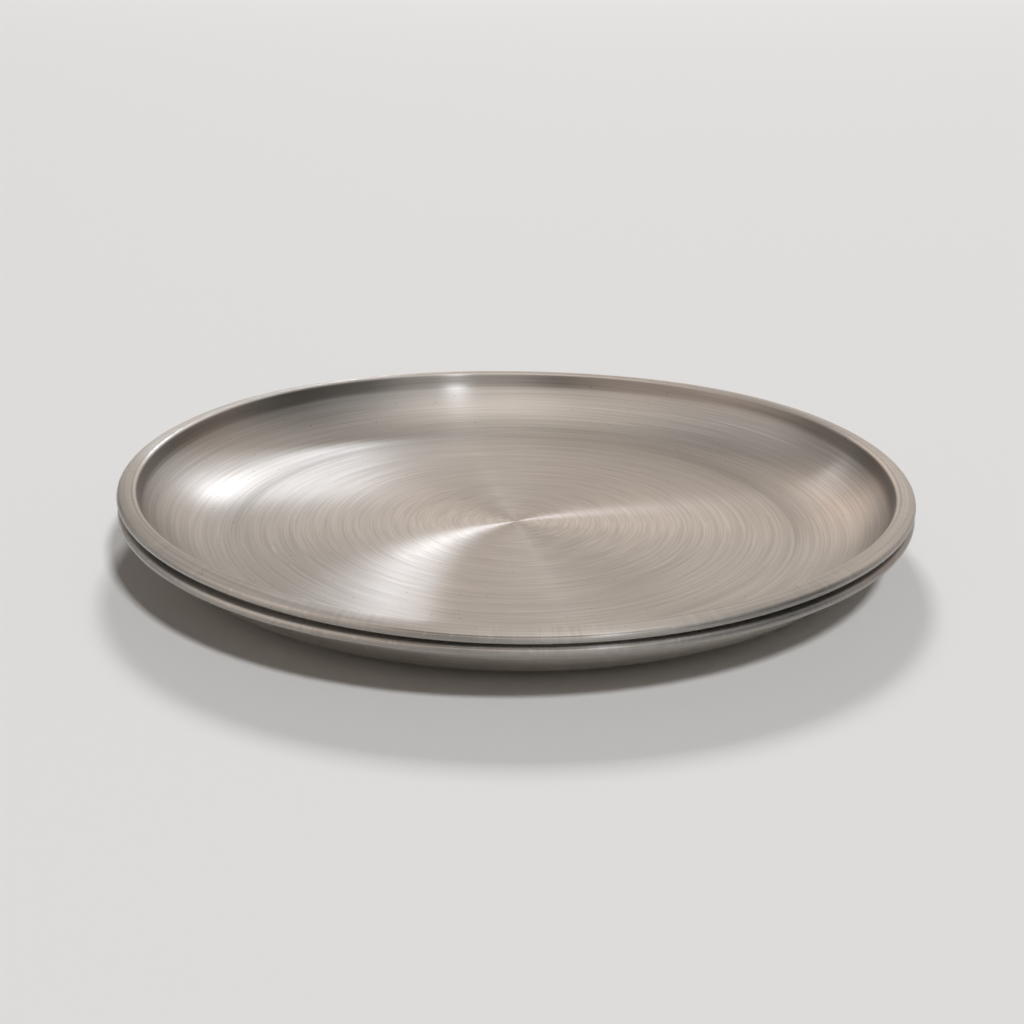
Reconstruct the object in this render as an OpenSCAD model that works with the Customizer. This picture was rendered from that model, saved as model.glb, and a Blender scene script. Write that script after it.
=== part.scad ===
// Two alike round steel plates, nested one in the other.
// Each plate is one pressed sheet: flat floor, broad curved wall, steep collar, flat rim, curled edge.

/* [Plate] */
// Outside diameter over the curled edge
plate_d = 300; // [200:1:400]
// Height from the underside of the floor to the top of the rim
plate_h = 22.5; // [16:0.5:31]
// Thickness of the steel sheet
sheet = 0.8; // [0.5:0.05:1.2]

/* [Wall] */
// Width of the wall seen from above, from the edge of the flat floor to the rim
wall_run = 32; // [25:0.5:60]
// Radius of the tight curve between the broad curve and the collar, at the middle of the sheet
turn_r = 9; // [4:0.5:14]
// Height of the straight collar under the rim
collar_h = 2.5; // [1:0.25:6]
// Slope of the collar from the level, in degrees
collar_slope = 78; // [70:0.5:82]

/* [Rim] */
// Width of the rim, from the top of the collar to the outer edge
rim_w = 7; // [5:0.5:20]
// Radius of the bend from the collar to the rim, at the middle of the sheet
bend_r = 1.2; // [0.8:0.1:2]
// Outside radius of the curled edge
curl_r = 1.5; // [1.3:0.1:2.5]
// How far the edge is curled under, in degrees
curl_turn = 240; // [180:5:300]

/* [Nest] */
// Clearance between nested plates, square to the sheet
nest_gap = 0.3; // [0.2:0.05:0.6]

/* [Hidden] */
$fn = 180;
// Most that the chords of a curve in the section stray from it
curve_tol = 0.01;
half = sheet / 2;
plate_r = plate_d / 2;
floor_r = plate_r - rim_w - wall_run;

// The plates stop on their collars, or on their curled edges where these are taller than the collar's step
nest_pitch = max((sheet + nest_gap) / cos(collar_slope), 2 * curl_r + nest_gap);

// Middle of the sheet along the section: [radius, height] of each centre and each end
curl_mid_r = curl_r - half;
curl_c = [plate_r - curl_r, plate_h - curl_r];
collar_top = [plate_r - rim_w, plate_h - half - bend_r * (1 - cos(collar_slope))];
bend_c = collar_top + bend_r * [sin(collar_slope), -cos(collar_slope)];
collar_l = collar_h / sin(collar_slope);
collar_foot = collar_top - collar_l * [cos(collar_slope), sin(collar_slope)];
turn_c = collar_foot - turn_r * [sin(collar_slope), -cos(collar_slope)];

// The broad curve touches the floor at its edge and the tight curve from outside
turn_run = turn_c[0] - floor_r;
turn_rise = turn_c[1] - half;
broad_r = (turn_run ^ 2 + turn_rise ^ 2 - turn_r ^ 2) / (2 * (turn_rise - turn_r));
broad_c = [floor_r, half + broad_r];
broad_slope = atan2(turn_run, broad_r - turn_rise);

// Points round a centre from one angle to another, both ends among them
function arc(centre, r, from, to) =
    let (steps = ceil(abs(to - from) / (2 * acos(1 - curve_tol / r))))
    [for (i = [0 : steps]) let (a = from + (to - from) * i / steps) centre + r * [cos(a), sin(a)]];

function tail(list) = [for (i = [1 : len(list) - 1]) list[i]];

function reversed(list) = [for (i = [len(list) - 1 : -1 : 0]) list[i]];

// One face of the sheet, from the axis to the end of the curl, a given height above the middle of the sheet
function face(above) = concat(
    [[0, half + above]],
    arc(broad_c, broad_r - above, -90, broad_slope - 90),
    tail(arc(turn_c, turn_r - above, broad_slope - 90, collar_slope - 90)),
    arc(bend_c, bend_r + above, collar_slope + 90, 90),
    arc(curl_c, curl_mid_r + above, 90, 90 - curl_turn)
);

module plate() {
    rotate_extrude() polygon(concat(face(half), reversed(face(-half))));
}

module lower_plate() {
    color("#a9a196") plate();
}

module upper_plate() {
    color("#b6ada1") translate([0, 0, nest_pitch]) plate();
}

lower_plate();
upper_plate();
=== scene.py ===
import math
import bpy
import numpy as np
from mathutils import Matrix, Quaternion, Vector


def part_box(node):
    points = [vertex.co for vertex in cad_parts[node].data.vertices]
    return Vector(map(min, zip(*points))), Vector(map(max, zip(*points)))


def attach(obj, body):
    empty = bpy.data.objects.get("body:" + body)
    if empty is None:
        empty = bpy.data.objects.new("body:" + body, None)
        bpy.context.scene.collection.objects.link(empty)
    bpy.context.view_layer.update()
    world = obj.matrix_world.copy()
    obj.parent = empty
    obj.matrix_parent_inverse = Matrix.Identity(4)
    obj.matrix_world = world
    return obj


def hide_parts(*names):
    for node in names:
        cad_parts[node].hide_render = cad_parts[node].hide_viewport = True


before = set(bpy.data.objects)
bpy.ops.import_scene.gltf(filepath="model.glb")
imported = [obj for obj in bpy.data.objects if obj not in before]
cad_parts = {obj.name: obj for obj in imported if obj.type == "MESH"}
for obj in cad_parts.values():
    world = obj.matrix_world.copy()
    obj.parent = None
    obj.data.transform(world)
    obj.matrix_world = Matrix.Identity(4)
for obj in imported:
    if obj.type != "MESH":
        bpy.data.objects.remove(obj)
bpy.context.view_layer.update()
print("frame loaded:", ", ".join(sorted(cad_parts)))


# Camera, in metres and degrees; the lens is the focal length in pixels over the width of the square picture
cameraView = {
    "pictureWidth": 1024,
    "focalPixels": 1600,
    "sensor": 36,
    "nearest": 0.01,
    "distance": 0.62573,
    "elevation": 21.164,
    "turnLeft": 0.143,
    "tiltUp": 0.882,
    "roll": 0.604,
}


def setCamera(view):
    rise = math.radians(view["elevation"])
    place = view["distance"] * Vector((0, -math.cos(rise), math.sin(rise)))
    bpy.ops.object.camera_add(location=place)
    camera = bpy.context.object
    camera.name = "photoCamera"
    camera.data.sensor_width = view["sensor"]
    camera.data.lens = view["sensor"] * view["focalPixels"] / view["pictureWidth"]
    camera.data.clip_start = view["nearest"]
    aim = (-place).to_track_quat("-Z", "Y")
    aim = aim @ Quaternion((0, 1, 0), math.radians(view["turnLeft"]))
    aim = aim @ Quaternion((1, 0, 0), math.radians(view["tiltUp"]))
    aim = aim @ Quaternion((0, 0, 1), math.radians(view["roll"]))
    camera.rotation_mode = "QUATERNION"
    camera.rotation_quaternion = aim
    bpy.context.scene.camera = camera


setCamera(cameraView)
bpy.context.scene.view_settings.view_transform = "Standard"
print("camera set")


# Section of one plate, at the middle of its sheet, in metres and degrees
plateShape = {
    "sheet": 0.0008,
    "rimWidth": 0.007,
    "wallRun": 0.032,
    "turnRadius": 0.009,
    "collarHeight": 0.0025,
    "collarSlope": 78,
    "bendRadius": 0.0012,
    "rimFall": 16,             # slope of the rim at its outer corner
    "cornerRadius": 0.0013,
    "hemHeight": 0.0036,
    "beadRadius": 0.0008,
    "beadEnd": -130,
    "floorRise": 0.0003,       # the floor stands this much over its edge
    "riseRun": 0.006,
    "steps": {"floor": 14, "rise": 8, "broad": 20, "turn": 9, "bend": 7, "rim": 8, "corner": 8, "bead": 14},
    "roundSteps": 360,
    "seedSize": 0.002,         # plane that shrinks to the first point of the section
    "weldGap": 0.000002,
}


def arcPoints(centre, radius, start, end, steps):
    angles = [math.radians(start + (end - start) * i / steps) for i in range(steps + 1)]
    return [(centre[0] + radius * math.cos(a), centre[1] + radius * math.sin(a)) for a in angles]


def plateSection(shape, plateRadius, plateHeight):
    half = shape["sheet"] / 2
    slope = math.radians(shape["collarSlope"])
    floorRadius = plateRadius - shape["rimWidth"] - shape["wallRun"]
    bend, turn, collar = shape["bendRadius"], shape["turnRadius"], shape["collarHeight"]
    steps = shape["steps"]
    collarTop = (plateRadius - shape["rimWidth"], plateHeight - half - bend * (1 - math.cos(slope)))
    collarFoot = (collarTop[0] - collar / math.tan(slope), collarTop[1] - collar)
    bendCentre = (collarTop[0] + bend * math.sin(slope), collarTop[1] - bend * math.cos(slope))
    turnCentre = (collarFoot[0] - turn * math.sin(slope), collarFoot[1] + turn * math.cos(slope))
    # the broad curve touches the floor at its edge and the tight curve from outside
    run, rise = turnCentre[0] - floorRadius, turnCentre[1] - half
    broad = (run ** 2 + rise ** 2 - turn ** 2) / (2 * (rise - turn))
    broadSlope = math.degrees(math.atan2(run, broad - rise))
    level = floorRadius - shape["riseRun"]
    points = [(level * i / steps["floor"], half + shape["floorRise"]) for i in range(steps["floor"])]
    for i in range(steps["rise"]):
        share = i / steps["rise"]
        fall = (1 + math.cos(math.pi * share)) / 2
        points.append((level + shape["riseRun"] * share, half + shape["floorRise"] * fall))
    points += arcPoints((floorRadius, half + broad), broad, -90, broadSlope - 90, steps["broad"])
    points += arcPoints(turnCentre, turn, broadSlope - 90, shape["collarSlope"] - 90, steps["turn"])[1:]
    points += arcPoints(bendCentre, bend, shape["collarSlope"] + 90, 90, steps["bend"])
    # the rim falls away in a shallow arc, turns down at its corner and rolls under in a bead
    bead, corner = shape["beadRadius"], shape["cornerRadius"]
    top, fall = plateHeight - half, math.radians(shape["rimFall"])
    rimArc = corner + (plateRadius - half - corner - bendCentre[0]) / math.sin(fall)
    points += arcPoints((bendCentre[0], top - rimArc), rimArc, 90, 90 - shape["rimFall"], steps["rim"])[1:]
    cornerCentre = (plateRadius - half - corner, top - rimArc + (rimArc - corner) * math.cos(fall))
    points += arcPoints(cornerCentre, corner, 90 - shape["rimFall"], 0, steps["corner"])[1:]
    beadCentre = (plateRadius - half - bead, plateHeight - shape["hemHeight"] + half + bead)
    points += arcPoints(beadCentre, bead, 0, shape["beadEnd"], steps["bead"])
    return points


def spinShell(name, points, lift, shape):
    bpy.ops.object.select_all(action="DESELECT")
    bpy.ops.mesh.primitive_plane_add(size=shape["seedSize"])
    piece = bpy.context.object
    piece.name = name
    bpy.ops.object.mode_set(mode="EDIT")
    bpy.ops.mesh.select_all(action="SELECT")
    bpy.ops.mesh.merge(type="CENTER")
    bpy.ops.transform.translate(value=(points[0][0], 0, points[0][1] + lift))
    for here, there in zip(points, points[1:]):
        step = (there[0] - here[0], 0, there[1] - here[1])
        bpy.ops.mesh.extrude_region_move(TRANSFORM_OT_translate={"value": step})
    bpy.ops.mesh.select_all(action="SELECT")
    bpy.ops.mesh.spin(steps=shape["roundSteps"], angle=2 * math.pi, center=(0, 0, 0), axis=(0, 0, 1))
    bpy.ops.mesh.select_all(action="SELECT")
    bpy.ops.mesh.remove_doubles(threshold=shape["weldGap"])
    bpy.ops.mesh.normals_make_consistent(inside=False)
    bpy.ops.object.mode_set(mode="OBJECT")
    return piece


# UV map that follows the brushing: u goes round the plate, v along its section
def mapRings(piece, points, lift):
    axisRadius = 1e-6   # a vertex nearer than this is on the axis
    halfTurn = 0.5
    section = np.array(points) + np.array((0, lift))
    along = np.concatenate(([0], np.cumsum(np.hypot(*np.diff(section, axis=0).T))))
    mesh = piece.data
    places = np.array([v.co for v in mesh.vertices])
    radius = np.hypot(places[:, 0], places[:, 1])
    gap = (radius[:, None] - section[None, :, 0]) ** 2 + (places[:, 2][:, None] - section[None, :, 1]) ** 2
    vertexAlong = along[gap.argmin(1)]
    vertexTurn = np.arctan2(places[:, 1], places[:, 0]) / (2 * math.pi) % 1
    rings = mesh.uv_layers.new(name="rings")
    for face in mesh.polygons:
        corners = [mesh.loops[i].vertex_index for i in face.loop_indices]
        turns = [vertexTurn[c] for c in corners if radius[c] > axisRadius]
        overSeam = max(turns) - min(turns) > halfTurn
        turns = [t + 1 if overSeam and t < halfTurn else t for t in turns]
        faceTurn = sum(turns) / len(turns)
        for i, c in zip(face.loop_indices, corners):
            turn = vertexTurn[c] + (1 if overSeam and vertexTurn[c] < halfTurn else 0)
            rings.data[i].uv = (turn if radius[c] > axisRadius else faceTurn, vertexAlong[c])


# A stamped plate is never quite level: the rim rises and falls a little, more the further out it is
def unlevel(piece, rim, outerRadius):
    for v in piece.data.vertices:
        turn = math.atan2(v.co.y, v.co.x)
        rise = rim["lift"] + rim["saddle"] * math.cos(2 * turn) + rim["fourLobes"] * math.cos(4 * turn)
        rise += rim["sideTilt"] * math.cos(turn) + rim["backTilt"] * math.sin(turn)
        beyond = max(0, v.co.x ** 2 + v.co.y ** 2 - rim["from"] ** 2)
        v.co.z += rise * beyond / (outerRadius ** 2 - rim["from"] ** 2)


def thicken(piece, sheet):
    wall = piece.modifiers.new("sheet", "SOLIDIFY")
    wall.thickness = sheet
    wall.offset = 0
    wall.use_even_offset = True
    bpy.ops.object.select_all(action="DESELECT")
    bpy.context.view_layer.objects.active = piece
    piece.select_set(True)
    bpy.ops.object.modifier_apply(modifier=wall.name)
    bpy.ops.object.shade_smooth()


def makePlate(name, node, rim, material):
    low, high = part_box(node)
    plateRadius = (high.x - low.x) / 2
    section = plateSection(plateShape, plateRadius, high.z - low.z)
    piece = spinShell(name, section, low.z, plateShape)
    mapRings(piece, section, low.z)
    unlevel(piece, rim, plateRadius)
    thicken(piece, plateShape["sheet"])
    piece.data.materials.append(material)
    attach(piece, node)
    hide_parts(node)
    print(name, "made:", len(piece.data.polygons), "faces")
    return piece


def addNode(tree, kind, inputs, **settings):
    node = tree.nodes.new(kind)
    for setting, value in settings.items():
        setattr(node, setting, value)
    for socket, value in inputs.items():
        if isinstance(value, bpy.types.NodeSocket):
            tree.links.new(value, node.inputs[socket])
        else:
            node.inputs[socket].default_value = value
    return node


def addMath(tree, operation, first, second=0.0, third=0.0):
    return addNode(tree, "ShaderNodeMath", {0: first, 1: second, 2: third}, operation=operation).outputs[0]


def spread(tree, value, low, high, toLow=-1.0, toHigh=1.0):
    sockets = {"Value": value, "From Min": low, "From Max": high, "To Min": toLow, "To Max": toHigh}
    return addNode(tree, "ShaderNodeMapRange", sockets, interpolation_type="SMOOTHSTEP").outputs[0]


# A mix node takes its colours at inputs 6 and 7 and gives one at output 2
def mixColours(tree, factor, first, second):
    sockets = {"Factor": factor, 6: first, 7: second}
    return addNode(tree, "ShaderNodeMix", sockets, data_type="RGBA").outputs[2]


# Steel brushed in rings round the centre. Lengths are in metres and insets are from the outer edge;
# arcs counts the pattern round the plate by the radian, lines counts it across by the metre.
steelLook = {
    "tint": (0.62, 0.60, 0.575),
    "metallic": 1,
    "roughness": 0.30,
    "anisotropic": 1.0,
    "rotation": 0.25,
    "noiseMiddle": 0.5,
    "noiseRange": (0.3, 0.7),       # nearly all values of a noise lie here
    "facesUp": (0.1, 0.35),         # height of the normal, from none to all
    "facesDown": (-0.35, -0.05),    # height of the normal, from all to none
    "fine": {"arcs": 2.2, "lines": 1600, "detail": 0, "seed": 0, "shade": 0.07, "rough": -0.006},
    "coarse": {"arcs": 1.8, "lines": 800, "detail": 0, "seed": 3.7, "shade": 0.035, "rough": -0.004},
    "bands": {"arcs": 1.0, "lines": 300, "detail": 1, "seed": 7.4, "shade": 0.012},
    "wander": {"arcs": 1.0, "lines": 25, "detail": 1, "seed": 0, "distance": 0.0003},
    "smudges": {"scale": 16, "detail": 3, "shade": 0.02, "rough": 0.015},
    "scratches": {"arcs": 4.0, "lines": 600, "detail": 1, "seed": 11.3, "range": (0.64, 0.74),
                  "shade": 0.08},
    "pits": {"scale": 110, "size": 0.04, "fade": 0.04 / 3, "shade": 0.5},
    "patches": {"arcs": 5, "lines": 0, "detail": 1, "seed": 5.1, "range": (0.45, 0.62), "least": 0.15},
    "streaks": {"arcs": 95, "lines": 60, "detail": 1, "seed": 7.9, "inset": 0.0068, "fade": 0.0008,
                "shade": 0.07, "rimLighter": 0.05},
    # the nicks' bump is real; their shade paints glints on them
    "nicksAndGlints": {"arcs": 110, "lines": 300, "detail": 2, "seed": 13.7, "inset": 0.0012, "fade": 0.0006,
              "height": 0.00003, "range": (0.6, 0.7), "shade": 0.16},
    # painted dark reflection line along the corner, strongest at the front
    "cornerPaintedShade": {"up": 0.72, "core": 0.04, "width": 0.16, "inset": 0.0008, "fade": 0.0004, "shade": 0.55,
              "front": (-0.99, -0.93), "elsewhere": 0.1},
    # painted highlight along the crown, with a painted shadow line beside it
    "crownPaintedLightAndShade": {"inset": 0.0067, "width": 0.0007, "shade": 0.12, "shadowLineInset": 0.0056, "shadowLineShade": -0.14},
    # painted shade on steep faces
    "steep": {"range": (0.3, 0.85), "shade": 0.58},
    # painted shade in the hollow under the rim
    "underRimPaintedShade": {"inset": 0.0068, "fade": 0.0006, "roll": 0.0014, "shade": 0.2},
    "outside": {"tint": (0.50, 0.465, 0.42), "rough": 0.72},   # the back of the sheet is smoother; its darker, warmer tint is painted shade and warm reflected light
}


def brushedSteel(name, look, plateEdge, shift):
    steel = bpy.data.materials.new(name)
    steel.use_nodes = True
    tree = steel.node_tree
    shader = tree.nodes["Principled BSDF"]
    coordinates = addNode(tree, "ShaderNodeTexCoord", {}).outputs
    place = coordinates["Object"]
    axes = addNode(tree, "ShaderNodeSeparateXYZ", {0: place}).outputs
    flat = addNode(tree, "ShaderNodeCombineXYZ", {"X": axes["X"], "Y": axes["Y"]}).outputs[0]
    radius = addNode(tree, "ShaderNodeVectorMath", {0: flat}, operation="LENGTH").outputs["Value"]
    bearing = addNode(tree, "ShaderNodeVectorMath", {0: flat}, operation="NORMALIZE").outputs["Vector"]
    turn = addNode(tree, "ShaderNodeSeparateXYZ", {0: bearing}).outputs
    along = addMath(tree, "ADD", radius, axes["Z"])
    inset = addMath(tree, "SUBTRACT", plateEdge, radius)
    up = addNode(tree, "ShaderNodeSeparateXYZ", {0: coordinates["Normal"]}).outputs["Z"]
    onFace = spread(tree, up, *look["facesUp"], 0, 1)
    onBack = spread(tree, up, *look["facesDown"], 1, 0)

    # noise drawn out round the plate: long along the rings, short across them
    def ringNoise(layer, across):
        ringPlace = {"X": turn["X"], "Y": turn["Y"], "Z": across}
        rings = addNode(tree, "ShaderNodeCombineXYZ", ringPlace).outputs[0]
        stretch = (layer["arcs"], layer["arcs"], layer["lines"])
        offset = (shift + layer["seed"], layer["seed"], shift)
        drawn = {0: rings, 1: stretch, 2: offset}
        moved = addNode(tree, "ShaderNodeVectorMath", drawn, operation="MULTIPLY_ADD").outputs[0]
        noise = {"Vector": moved, "Scale": 1, "Detail": layer["detail"]}
        return addNode(tree, "ShaderNodeTexNoise", noise).outputs["Fac"]

    wander = addMath(tree, "SUBTRACT", ringNoise(look["wander"], along), look["noiseMiddle"])
    across = addMath(tree, "MULTIPLY_ADD", wander, look["wander"]["distance"], along)
    shade, rough = 1.0, look["roughness"]
    for layer in (look["fine"], look["coarse"], look["bands"]):
        lines = spread(tree, ringNoise(layer, across), *look["noiseRange"])
        shade = addMath(tree, "MULTIPLY_ADD", lines, layer["shade"], shade)
        if "rough" in layer:
            rough = addMath(tree, "MULTIPLY_ADD", lines, layer["rough"], rough)

    smudges = look["smudges"]
    cloud = {"Vector": place, "Scale": smudges["scale"], "Detail": smudges["detail"]}
    clouds = spread(tree, addNode(tree, "ShaderNodeTexNoise", cloud).outputs["Fac"], *look["noiseRange"])
    shade = addMath(tree, "MULTIPLY_ADD", clouds, smudges["shade"], shade)
    rough = addMath(tree, "MULTIPLY_ADD", clouds, smudges["rough"], rough)

    # hair scratches are pale, pits dark
    scratches = look["scratches"]
    hairs = spread(tree, ringNoise(scratches, across), *scratches["range"], 0, 1)
    shade = addMath(tree, "MULTIPLY_ADD", hairs, scratches["shade"], shade)
    pits = look["pits"]
    scatter = {"Vector": place, "Scale": pits["scale"]}
    cells = addNode(tree, "ShaderNodeTexVoronoi", scatter, voronoi_dimensions="2D").outputs
    chance = addNode(tree, "ShaderNodeSeparateColor", {0: cells["Color"]}).outputs[0]
    reach = addMath(tree, "MULTIPLY", chance, pits["size"])
    dots = spread(tree, addMath(tree, "SUBTRACT", reach, cells["Distance"]), 0, pits["fade"], 0, 1)
    shade = addMath(tree, "MULTIPLY_ADD", dots, -pits["shade"], shade)

    # short marks across the rim, in patches
    streaks, patches = look["streaks"], look["patches"]
    onRim = spread(tree, inset, streaks["inset"] - streaks["fade"], streaks["inset"], 1, 0)
    patch = spread(tree, ringNoise(patches, along), *patches["range"], patches["least"], 1)
    marks = spread(tree, ringNoise(streaks, along), *look["noiseRange"])
    marks = addMath(tree, "MULTIPLY", addMath(tree, "MULTIPLY", marks, patch), onRim)
    shade = addMath(tree, "MULTIPLY_ADD", marks, streaks["shade"], shade)
    # the whole rim band is made a little lighter in colour
    shade = addMath(tree, "MULTIPLY_ADD", onRim, streaks["rimLighter"], shade)

    # nicks at the outer corner, with painted glints on them, and a painted dark reflection line along the
    # corner, strongest at the front
    nicksAndGlints, cornerPaintedShade = look["nicksAndGlints"], look["cornerPaintedShade"]
    dents = ringNoise(nicksAndGlints, along)
    onCorner = spread(tree, inset, nicksAndGlints["inset"] - nicksAndGlints["fade"], nicksAndGlints["inset"], 1, 0)
    onCorner = addMath(tree, "MULTIPLY", onCorner, onFace)
    height = addMath(tree, "MULTIPLY", addMath(tree, "MULTIPLY", dents, onCorner), nicksAndGlints["height"])
    # painted glints on the nicks
    paintedGlints = addMath(tree, "MULTIPLY", spread(tree, dents, *nicksAndGlints["range"], 0, 1), onCorner)
    shade = addMath(tree, "MULTIPLY_ADD", paintedGlints, nicksAndGlints["shade"], shade)
    # painted dark reflection line: one band of normal angle at the corner, mostly at the front
    offLine = addMath(tree, "ABSOLUTE", addMath(tree, "SUBTRACT", up, cornerPaintedShade["up"]))
    paintedCornerLine = spread(tree, offLine, cornerPaintedShade["core"], cornerPaintedShade["width"], cornerPaintedShade["shade"], 0)
    atEdge = spread(tree, inset, cornerPaintedShade["inset"], cornerPaintedShade["inset"] + cornerPaintedShade["fade"], 1, 0)
    atFront = spread(tree, turn["Y"], *cornerPaintedShade["front"], 1, cornerPaintedShade["elsewhere"])
    for mask in (atEdge, atFront, onFace):
        paintedCornerLine = addMath(tree, "MULTIPLY", paintedCornerLine, mask)
    shade = addMath(tree, "MULTIPLY", shade, addMath(tree, "SUBTRACT", 1.0, paintedCornerLine))

    # painted highlight along the crown of the rim, with a painted shadow line beside it
    crownPaintedLightAndShade = look["crownPaintedLightAndShade"]
    for edge, tone in ((crownPaintedLightAndShade["inset"], crownPaintedLightAndShade["shade"]), (crownPaintedLightAndShade["shadowLineInset"], crownPaintedLightAndShade["shadowLineShade"])):
        offEdge = addMath(tree, "ABSOLUTE", addMath(tree, "SUBTRACT", inset, edge))
        paintedCrownLine = addMath(tree, "MULTIPLY", spread(tree, offEdge, 0, crownPaintedLightAndShade["width"], tone, 0), onFace)
        shade = addMath(tree, "ADD", shade, paintedCrownLine)

    # painted shade on steep faces, and painted shade in the hollow under the rim
    steep, underRimPaintedShade = look["steep"], look["underRimPaintedShade"]
    steepness = addMath(tree, "MAXIMUM", spread(tree, up, *steep["range"], steep["shade"], 1), onBack)
    shade = addMath(tree, "MULTIPLY", shade, steepness)
    # painted shade in the hollow under the rim, fading out over the bead
    rimFoot = underRimPaintedShade["inset"]
    paintedHollowShade = spread(tree, inset, rimFoot - underRimPaintedShade["fade"], rimFoot, 1 - underRimPaintedShade["shade"], 0)
    for mask in (spread(tree, inset, 0, underRimPaintedShade["roll"], 0, 1), onBack):
        paintedHollowShade = addMath(tree, "MULTIPLY", paintedHollowShade, mask)
    shade = addMath(tree, "MULTIPLY", shade, addMath(tree, "SUBTRACT", 1.0, paintedHollowShade))

    outside = look["outside"]
    rough = addMath(tree, "MULTIPLY", rough, spread(tree, up, *look["facesDown"], outside["rough"], 1))
    # downward faces take the outside tint: painted shade and warm reflected light
    tint = mixColours(tree, onBack, (*look["tint"], 1), (*outside["tint"], 1))
    colour = addNode(tree, "ShaderNodeVectorMath", {0: tint, "Scale": shade}, operation="SCALE").outputs[0]
    bump = addNode(tree, "ShaderNodeBump", {"Height": height, "Distance": 1.0})
    brushing = addNode(tree, "ShaderNodeTangent", {}, direction_type="UV_MAP", uv_map="rings")
    tree.links.new(colour, shader.inputs["Base Color"])
    tree.links.new(rough, shader.inputs["Roughness"])
    tree.links.new(bump.outputs["Normal"], shader.inputs["Normal"])
    tree.links.new(brushing.outputs["Tangent"], shader.inputs["Tangent"])
    shader.inputs["Metallic"].default_value = look["metallic"]
    shader.inputs["Anisotropic"].default_value = look["anisotropic"]
    shader.inputs["Anisotropic Rotation"].default_value = look["rotation"]
    return steel


# The two plates show different parts of the same noise
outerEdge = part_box("upper_plate")[1].x
lowerShift = 20.0
upperShift = 0.0
lowerSteel = brushedSteel("brushedSteelLower", steelLook, outerEdge, lowerShift)
upperSteel = brushedSteel("brushedSteelUpper", steelLook, outerEdge, upperShift)

# Millimetre unevenness of the two rims, in metres, and the radius that it starts from
lowerRim = {"from": 0.111, "lift": 0.0007, "saddle": 0.0004, "fourLobes": 0, "sideTilt": -0.0001,
            "backTilt": 0}
upperRim = {"from": 0, "lift": 0.00045, "saddle": 0.0010, "fourLobes": -0.0004, "sideTilt": -0.00065,
            "backTilt": 0.00005}

lowerPlate = makePlate("lowerPlate", "lower_plate", lowerRim, lowerSteel)
upperPlate = makePlate("upperPlate", "upper_plate", upperRim, upperSteel)


floorLook = {"size": 80.0, "colour": (0.86, 0.86, 0.86), "roughness": 0.9, "specular": 0.1, "below": 0.0001}


def layFloor(look):
    bpy.ops.object.select_all(action="DESELECT")
    bpy.ops.mesh.primitive_plane_add(size=look["size"], location=(0, 0, -look["below"]))
    floor = bpy.context.object
    floor.name = "paleFloor"
    bpy.ops.object.transform_apply(location=True)
    paper = bpy.data.materials.new("palePaper")
    paper.use_nodes = True
    shader = paper.node_tree.nodes["Principled BSDF"]
    shader.inputs["Base Color"].default_value = (*look["colour"], 1)
    shader.inputs["Roughness"].default_value = look["roughness"]
    shader.inputs["Specular IOR Level"].default_value = look["specular"]
    floor.data.materials.append(paper)
    return floor


paleFloor = layFloor(floorLook)

# Lamps, by bearing from +X, height over the horizon and distance from the plates; sizes in metres.
# The steel shows the small lamps; the wide ones only light the floor and throw the shadows.
coolWhite = (0.93, 0.98, 1.06)
neutral = (1, 1, 1)
amber = (1, 0.68, 0.52)
plateCentre = (0, 0, 0)
backWall = (0, 0.12, 0)
leftSide = (-0.11, -0.05, 0)
leftBack = (-0.085, 0.045, 0)
rightSide = (0.16, -0.02, 0)
rightBack = (0.13, 0.05, 0)
studioLamps = [
    {"name": "backLamp", "bearing": 98.8, "height": 29, "distance": 0.566, "size": (0.038, 0.042),
     "aim": leftSide, "beam": 55, "brightness": 0.9, "colour": coolWhite, "seenIn": "steel"},
    {"name": "backLampMiddle", "bearing": 102, "height": 30, "distance": 0.566, "size": (0.034, 0.042),
     "aim": leftSide, "beam": 55, "brightness": 0.5, "colour": coolWhite, "seenIn": "steel"},
    {"name": "backLampSide", "bearing": 106.5, "height": 32, "distance": 0.566, "size": (0.056, 0.042),
     "aim": leftSide, "beam": 55, "brightness": 0.25, "colour": coolWhite, "seenIn": "steel"},
    {"name": "wingLamp", "bearing": 95, "height": 29, "distance": 0.566, "size": (0.034, 0.042),
     "aim": leftBack, "beam": 16, "brightness": 0.034, "colour": coolWhite, "seenIn": "steel"},
    {"name": "warmFill", "bearing": 85, "height": 24, "distance": 0.5, "size": (0.25, 0.20),
     "aim": rightSide, "beam": 46, "brightness": 0.028, "colour": amber, "seenIn": "steel"},
    {"name": "backLampRight", "bearing": 106, "height": 32, "distance": 0.566, "size": (0.014, 0.042),
     "aim": rightBack, "beam": 30, "brightness": 0.2, "colour": neutral, "seenIn": "steel"},
    {"name": "frontLamp", "bearing": 298, "height": 48, "distance": 1.0, "size": (0.09, 0.07),
     "aim": backWall, "beam": 40, "brightness": 1.12, "colour": coolWhite, "seenIn": "steel"},
    {"name": "frontWash", "bearing": 298.8, "height": 55, "distance": 20, "size": (2.7, 2.7),
     "aim": plateCentre, "beam": 180, "brightness": 86, "colour": neutral, "seenIn": "floor"},
    {"name": "backWash", "bearing": 91, "height": 37, "distance": 20, "size": (3.7, 3.7),
     "aim": plateCentre, "beam": 180, "brightness": 41, "colour": neutral, "seenIn": "floor"},
]


def towards(bearing, height):
    turn, rise = math.radians(bearing), math.radians(height)
    return Vector((math.cos(rise) * math.cos(turn), math.cos(rise) * math.sin(turn), math.sin(rise)))


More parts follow.
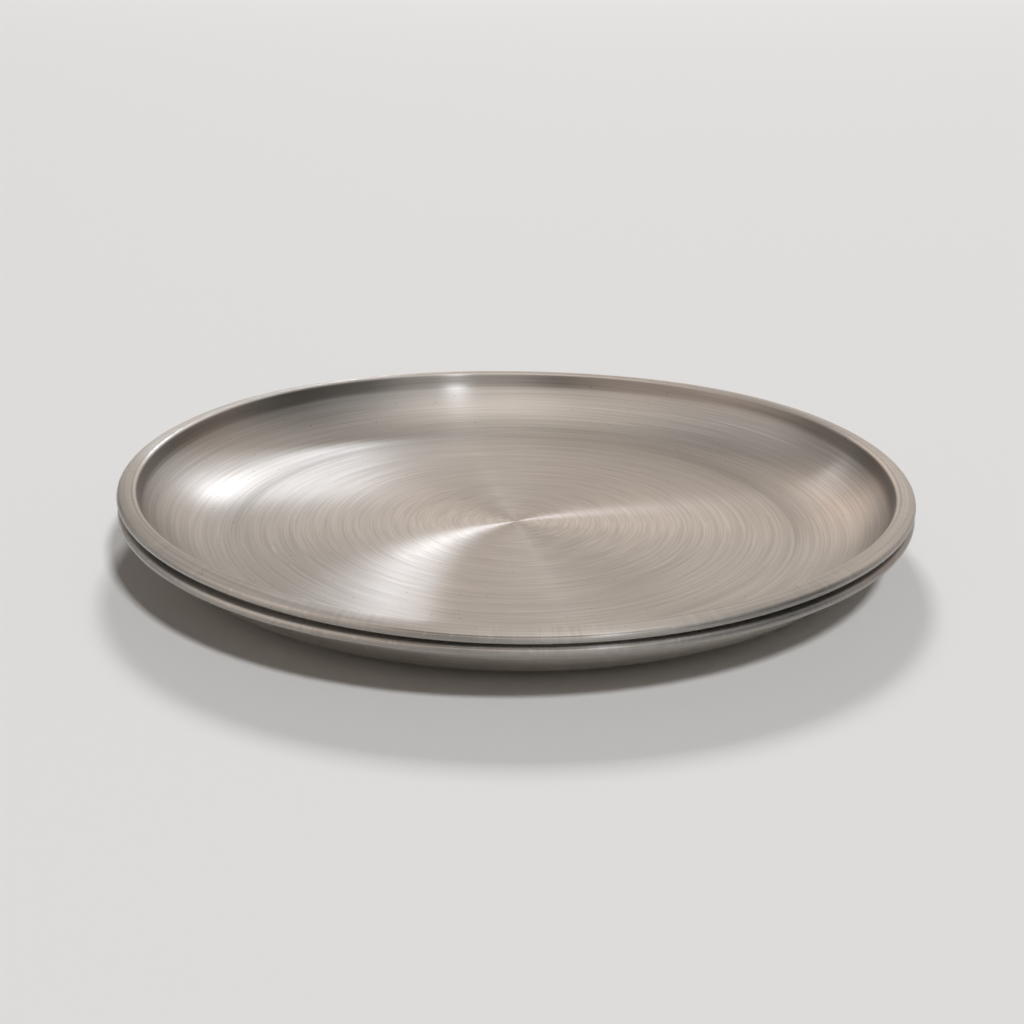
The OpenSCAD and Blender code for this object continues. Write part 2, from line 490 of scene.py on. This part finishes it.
def hangLamp(lamp, receivers):
    place = lamp["distance"] * towards(lamp["bearing"], lamp["height"])
    bpy.ops.object.light_add(type="AREA", location=place)
    light = bpy.context.object
    light.name = lamp["name"]
    light.rotation_mode = "QUATERNION"
    light.rotation_quaternion = (Vector(lamp["aim"]) - place).to_track_quat("-Z", "Y")
    light.data.shape = "RECTANGLE"
    light.data.size, light.data.size_y = lamp["size"]
    light.data.spread = math.radians(lamp["beam"])
    light.data.color = lamp["colour"]
    # an even face gives out its brightness times pi for each square metre
    light.data.energy = lamp["brightness"] * math.pi * lamp["size"][0] * lamp["size"][1]
    light.light_linking.receiver_collection = receivers


lit = {"steel": bpy.data.collections.new("litSteel"), "floor": bpy.data.collections.new("litFloor")}
lit["steel"].objects.link(lowerPlate)
lit["steel"].objects.link(upperPlate)
lit["floor"].objects.link(paleFloor)
for lamp in studioLamps:
    hangLamp(lamp, lit[lamp["seenIn"]])

# The room as the steel shows it: darker low down, brighter overhead, with soft brighter places
warm = (1, 0.91, 0.83)
rosy = (1, 0.80, 0.68)
roomLook = {
    "floorShare": 0.17,               # even light that reaches the floor
    "heights": ((0.0, 0.08), (0.4, 0.08), (0.75, 0.12), (1.0, 0.2)),  # sine of height, brightness
    "newStop": 0.5,                   # where a stop of the heights is added, before it gets its place
    "overall": warm,
    "backdrop": (0.73, 0.72, 0.71),   # what the camera sees past the floor
    "places": (
        {"bearing": 210, "height": 3, "spread": 55, "brightness": 0.9, "colour": rosy},
        {"bearing": 288, "height": 15, "spread": 36, "brightness": 0.85, "colour": warm},
        {"bearing": 85, "height": 22, "spread": 42, "brightness": 0.61, "colour": warm},
        {"bearing": 150, "height": 20, "spread": 30, "brightness": 0.28, "colour": warm},
        {"bearing": 148, "height": 42, "spread": 28, "brightness": 0.2, "colour": warm},
        {"bearing": 10, "height": 45, "spread": 30, "brightness": 0.12, "colour": neutral},
        {"bearing": 180, "height": 45, "spread": 32, "brightness": 0.4, "colour": neutral},
        {"bearing": 324, "height": 45, "spread": 30, "brightness": 0.35, "colour": neutral},
        {"bearing": 252, "height": 52, "spread": 36, "brightness": 0.45, "colour": warm},
        {"bearing": 300, "height": 66, "spread": 30, "brightness": 0.35, "colour": neutral},
        {"bearing": 90, "height": 88, "spread": 36, "brightness": 0.8, "colour": warm},
        {"bearing": 48, "height": 44, "spread": 26, "brightness": 0.35, "colour": warm},
        {"bearing": 30, "height": 6, "spread": 32, "brightness": 0.35, "colour": rosy},
    ),
}


def lightRoom(look):
    world = bpy.data.worlds.new("room")
    bpy.context.scene.world = world
    world.use_nodes = True
    tree = world.node_tree
    direction = addNode(tree, "ShaderNodeTexCoord", {}).outputs["Generated"]
    height = addNode(tree, "ShaderNodeSeparateXYZ", {0: direction}).outputs["Z"]
    ramp = addNode(tree, "ShaderNodeValToRGB", {0: height})
    stops = ramp.color_ramp.elements
    while len(stops) < len(look["heights"]):
        stops.new(look["newStop"])
    for stop, (place, brightness) in zip(stops, look["heights"]):
        stop.position = place
        stop.color = (*[brightness * c for c in look["overall"]], 1)
    total = ramp.outputs["Color"]
    for place in look["places"]:
        middle = towards(place["bearing"], place["height"])
        near = addNode(tree, "ShaderNodeVectorMath", {0: direction, 1: middle}, operation="DOT_PRODUCT")
        edge = math.cos(math.radians(place["spread"]))
        soft = spread(tree, near.outputs["Value"], edge, 1, 0, place["brightness"])
        tinted = {0: place["colour"], "Scale": soft}
        glow = addNode(tree, "ShaderNodeVectorMath", tinted, operation="SCALE").outputs[0]
        total = addNode(tree, "ShaderNodeVectorMath", {0: total, 1: glow}, operation="ADD").outputs[0]
    rays = addNode(tree, "ShaderNodeLightPath", {}).outputs
    even = (*[look["floorShare"] * c for c in look["overall"]], 1)
    around = mixColours(tree, rays["Is Glossy Ray"], even, total)
    shown = mixColours(tree, rays["Is Camera Ray"], around, (*look["backdrop"], 1))
    tree.links.new(shown, tree.nodes["Background"].inputs["Color"])


lightRoom(roomLook)
print("floor, lamps and room set")
